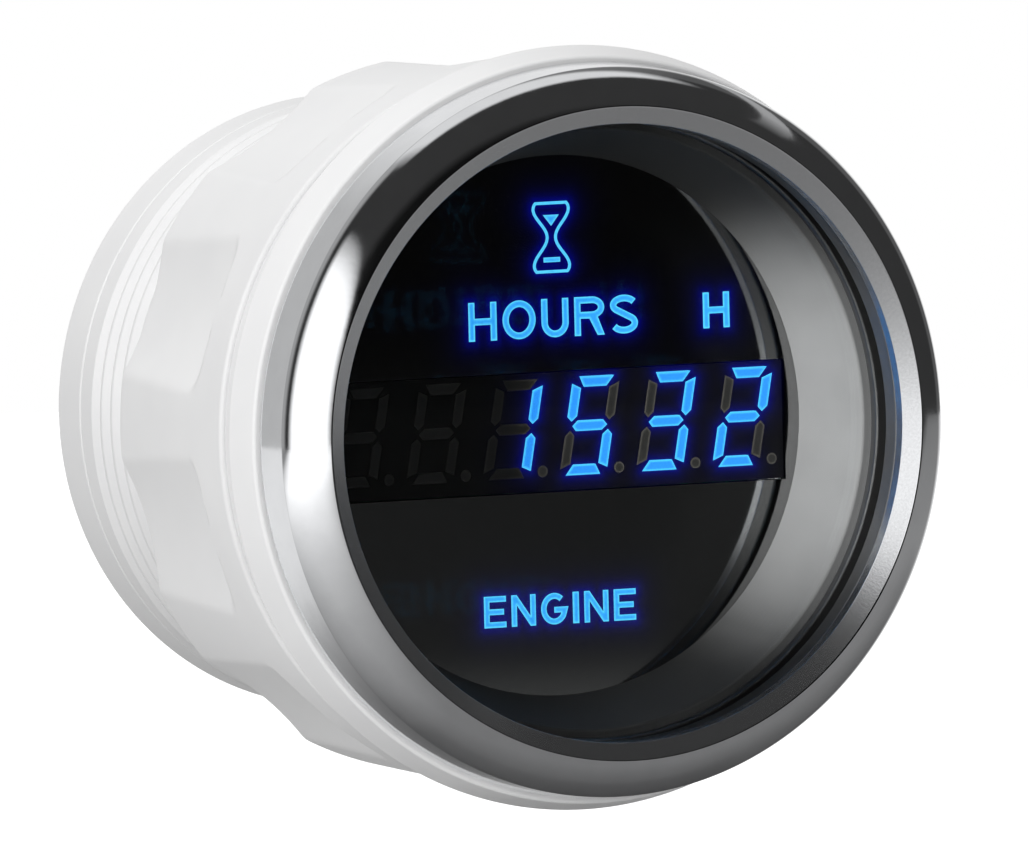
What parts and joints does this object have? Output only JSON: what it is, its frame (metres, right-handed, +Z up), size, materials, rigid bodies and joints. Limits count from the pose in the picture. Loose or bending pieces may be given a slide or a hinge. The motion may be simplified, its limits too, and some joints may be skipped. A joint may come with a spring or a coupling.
{
  "type": "hour meter",
  "caption": "Round panel-mount digital hour meter: chrome bezel, lens, black dial with blue segment display, white threaded case and lobed fixing nut.",
  "frame": {"origin": "on the meter's axis, in the plane of the flange's rear face, which sits on the front of the panel", "axes": "+Y along the axis out of the back of the meter, so the dial faces -Y; +Z up the dial; +X to the right of the dial seen from the front"},
  "size_m": [0.0632, 0.062, 0.0632],
  "materials": {
    "white_abs": "moulded white plastic, satin",
    "chrome_plate": "bright chrome plate on a moulded ring",
    "seal_rubber": "moulded black rubber",
    "lens_glass": "clear polished lens",
    "grey_abs": "moulded grey plastic",
    "dial_black": "gloss black printed sheet",
    "display_black": "moulded black plastic",
    "segment_blue": "blue lit resin",
    "segment_dark": "grey tinted resin, unlit",
    "guide_acrylic": "clear acrylic",
    "led_resin": "white moulded package",
    "board_green": "green solder mask",
    "spacer_brass": "turned brass",
    "screw_steel": "zinc-plated steel",
    "header_black": "moulded black plastic with pins",
    "chip_black": "moulded black epoxy",
    "can_metal": "drawn metal can",
    "terminal_brass": "tin-plated brass strip"
  },
  "bodies": {
    "meter": {"case": "white_abs", "rear_cover": "white_abs", "bezel": "chrome_plate", "lens_gasket": "seal_rubber", "lens_seal": "seal_rubber", "lens": "lens_glass", "reflector_ring": "grey_abs", "dial": "dial_black", "display_body": "display_black", "lit_segments": "segment_blue", "dark_segments": "segment_dark", "decimal_points": "segment_dark", "upper_light_guide": "guide_acrylic", "lower_light_guide": "guide_acrylic", "backlight_leds": "led_resin", "display_board": "board_green", "main_board": "board_green", "board_spacers": "spacer_brass", "cover_screws": "screw_steel", "board_screws": "screw_steel", "board_header": "header_black", "microcontroller": "chip_black", "memory_chip": "chip_black", "voltage_regulator": "chip_black", "protection_diode": "chip_black", "chip_resistors": "chip_black", "crystal": "can_metal", "filter_capacitor": "can_metal", "positive_terminal": "terminal_brass", "negative_terminal": "terminal_brass", "signal_terminal": "terminal_brass"},
    "washer": {"nut_washer": "white_abs"},
    "nut": {"fixing_nut": "white_abs"}
  },
  "joints": [
    {"name": "washer_slide", "type": "slide", "parent": "meter", "child": "washer", "axis": [0, 1, 0], "range_m": [0, 0.034]},
    {"name": "nut_turn", "type": "hinge", "parent": "washer", "child": "nut", "pos_m": [0, 0.0037, 0], "axis": [0, 1, 0], "range_deg": [0, 6120]}
  ],
  "couplings": [
    {"joint": "washer_slide", "follows": "nut_turn", "m_per_rad": 0.0003183}
  ]
}
